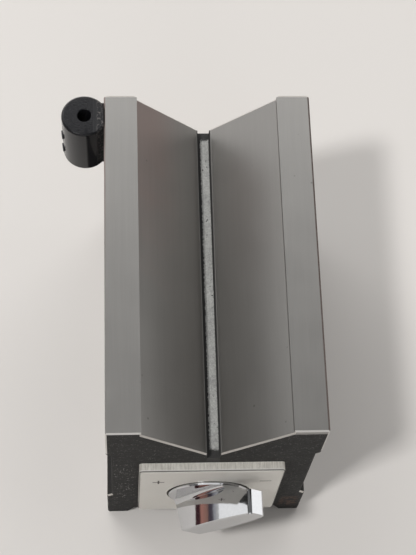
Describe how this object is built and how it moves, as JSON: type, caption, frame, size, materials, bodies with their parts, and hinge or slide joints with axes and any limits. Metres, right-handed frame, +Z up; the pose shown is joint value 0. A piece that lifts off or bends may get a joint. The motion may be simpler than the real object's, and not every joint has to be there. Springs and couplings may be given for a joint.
{
  "type": "magnetic v block",
  "caption": "Switchable magnetic V block: two steel pole halves with a wide V on top, a square face plate with a turning lever knob, and a small rod holder on one side.",
  "frame": {"origin": "middle of the block footprint, on the plane its two feet stand on", "axes": "+Z up out of the V, -Y towards the switch knob, +X to the right seen from the knob; the V runs along Y"},
  "size_m": [0.0848, 0.1355, 0.096],
  "materials": {
    "pole_steel": "surface-ground steel on the lands, V faces and bands; rough black paint on the ends and the relieved sides",
    "spacer_metal": "as-cast, dull",
    "plate_nickel": "satin nickel plate",
    "knob_chrome": "bright chrome plate on a die casting",
    "brass": "turned",
    "magnet_ferrite": "sintered, matt dark grey",
    "rotor_steel": "turned",
    "fastener_steel": "blackened",
    "holder_black": "gloss black, rough at the weld"
  },
  "bodies": {
    "block": {"left_pole": "pole_steel", "right_pole": "pole_steel", "upper_spacer": "spacer_metal", "lower_spacer": "spacer_metal", "spacer_pins": "brass", "front_plate": "plate_nickel", "plate_dowels": "fastener_steel", "front_bearing": "brass", "rear_plug": "brass", "rod_holder": "holder_black"},
    "switch": {"knob": "knob_chrome", "knob_screw": "fastener_steel", "rotor_front_cap": "brass", "rotor_rear_cap": "brass", "rotor_magnet": "magnet_ferrite", "upper_shoe": "rotor_steel", "lower_shoe": "rotor_steel", "rotor_rivets": "brass", "stop_pin": "fastener_steel"},
    "upper_screw": {"upper_clamp_screw": "fastener_steel"},
    "lower_screw": {"lower_clamp_screw": "fastener_steel"}
  },
  "joints": [
    {"name": "switch_turn", "type": "hinge", "parent": "block", "child": "switch", "pos_m": [0, -0.0635, 0.037], "axis": [0, -1, 0], "range_deg": [0, 90]},
    {"name": "upper_screw_slide", "type": "slide", "parent": "block", "child": "upper_screw", "axis": [0.9903, 0.1392, 0], "range_m": [0, 0.002]},
    {"name": "lower_screw_slide", "type": "slide", "parent": "block", "child": "lower_screw", "axis": [0.9903, 0.1392, 0], "range_m": [0, 0.002]}
  ]
}
